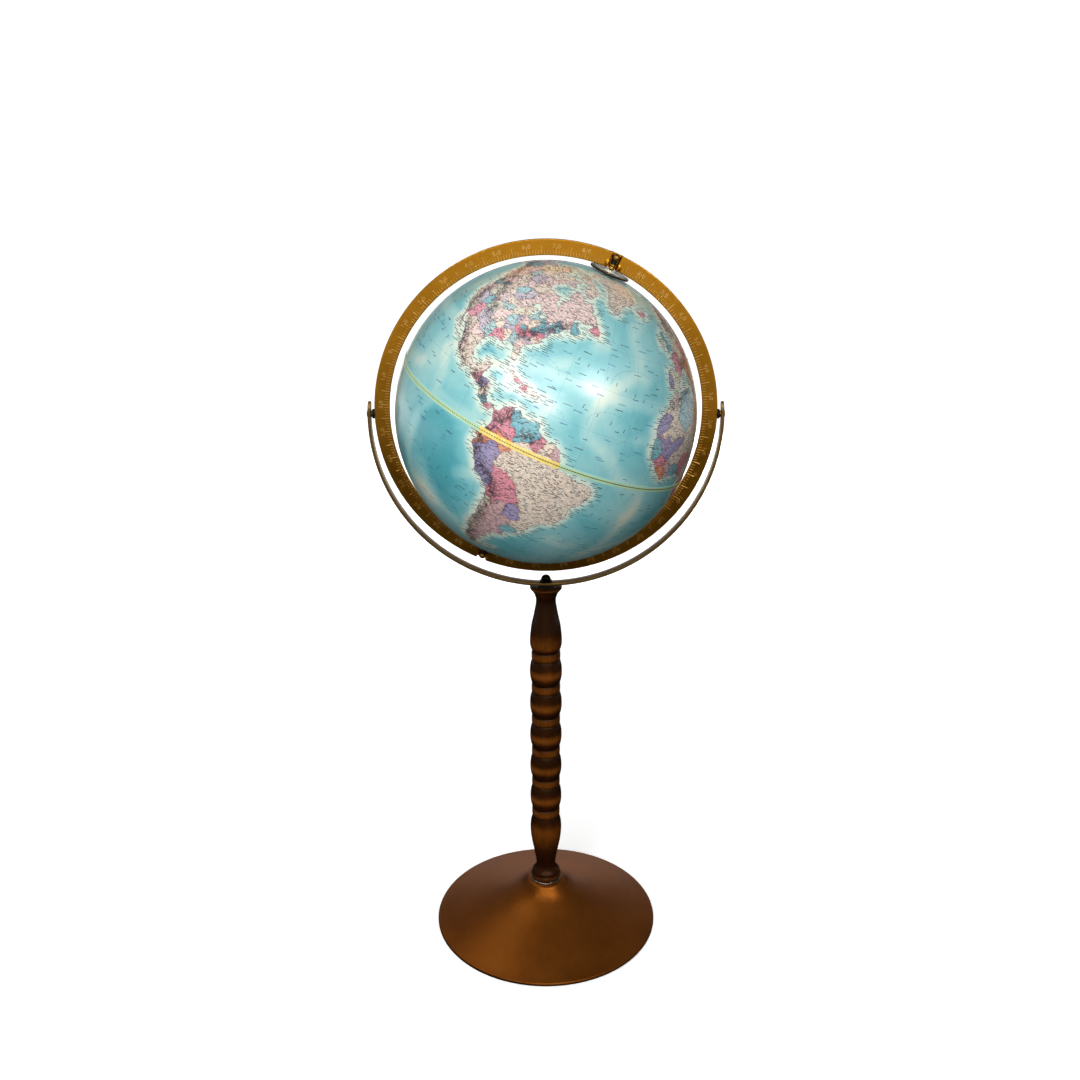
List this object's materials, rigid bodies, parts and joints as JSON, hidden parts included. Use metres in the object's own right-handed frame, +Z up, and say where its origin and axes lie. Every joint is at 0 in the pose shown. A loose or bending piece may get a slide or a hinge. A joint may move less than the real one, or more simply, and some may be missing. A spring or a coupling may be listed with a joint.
{
  "type": "globe on stand",
  "caption": "Terrestrial globe in a full graduated meridian ring and half-circle yoke, on a turned beaded wooden column with a wide low cone base.",
  "frame": {"origin": "centre of the base on the floor", "axes": "+Z up along the column, +X along the yoke pivots towards the side the north pole leans to, -Y the graduated face of the meridian ring, which rests swung 3 degrees towards -Y"},
  "size_m": [0.3644, 0.306, 0.7799],
  "materials": {
    "felt": "dark green felt",
    "fibreboard": "raw fibreboard",
    "cast_iron": "raw cast iron",
    "bronze_paint": "satin bronze-brown paint on spun steel",
    "bright_steel": "bright zinc plate",
    "walnut": "turned hardwood, dark walnut stain, gloss lacquer",
    "black_plastic": "black plastic",
    "black_oxide": "dark bronze plate",
    "strap_paint": "antique brass plate on steel",
    "brass": "polished brass",
    "gold_paint": "antique gold finish on die-cast aluminium",
    "smoky_plastic": "smoky clear plastic",
    "pale_plastic": "off-white plastic",
    "map_print": "printed paper map under satin varnish, on pressed fibreboard",
    "greyboard": "greyboard",
    "tape_print": "printed paper tape"
  },
  "bodies": {
    "stand": {"base_felt": "felt", "base_plate": "fibreboard", "base_weight": "cast_iron", "base_shell": "bronze_paint", "base_nut": "bright_steel", "base_nut_washer": "bright_steel", "foot_washer": "bright_steel", "turned_column": "walnut", "tie_rod": "bright_steel", "swivel_washer": "black_plastic", "flange_washer": "black_oxide", "acorn_nut": "black_oxide"},
    "yoke": {"yoke_arm": "strap_paint", "left_pivot_pin": "brass", "right_pivot_pin": "brass", "left_pivot_spacer": "black_plastic", "right_pivot_spacer": "black_plastic"},
    "meridian": {"meridian_ring": "gold_paint", "north_pin": "brass", "south_pin": "brass", "north_ferrule": "brass", "south_ferrule": "brass", "south_spacer": "brass"},
    "dial": {"hour_dial": "smoky_plastic", "dial_hub": "pale_plastic"},
    "globe": {"north_hemisphere": "map_print", "south_hemisphere": "map_print", "north_grommet": "pale_plastic", "south_grommet": "pale_plastic", "equator_hoop": "greyboard", "equator_tape": "tape_print"}
  },
  "joints": [
    {"name": "yoke_swivel", "type": "hinge", "parent": "stand", "child": "yoke", "pos_m": [0, 0, 0.42], "axis": [0, 0, 1], "continuous": true},
    {"name": "meridian_swing", "type": "hinge", "parent": "yoke", "child": "meridian", "pos_m": [0, 0, 0.606], "axis": [1, 0, 0], "continuous": true},
    {"name": "dial_turn", "type": "hinge", "parent": "meridian", "child": "dial", "pos_m": [0, 0, 0.606], "axis": [0.3987, -0.048, 0.9158], "continuous": true},
    {"name": "globe_spin", "type": "hinge", "parent": "meridian", "child": "globe", "pos_m": [0, 0, 0.606], "axis": [0.3987, -0.048, 0.9158], "continuous": true}
  ]
}
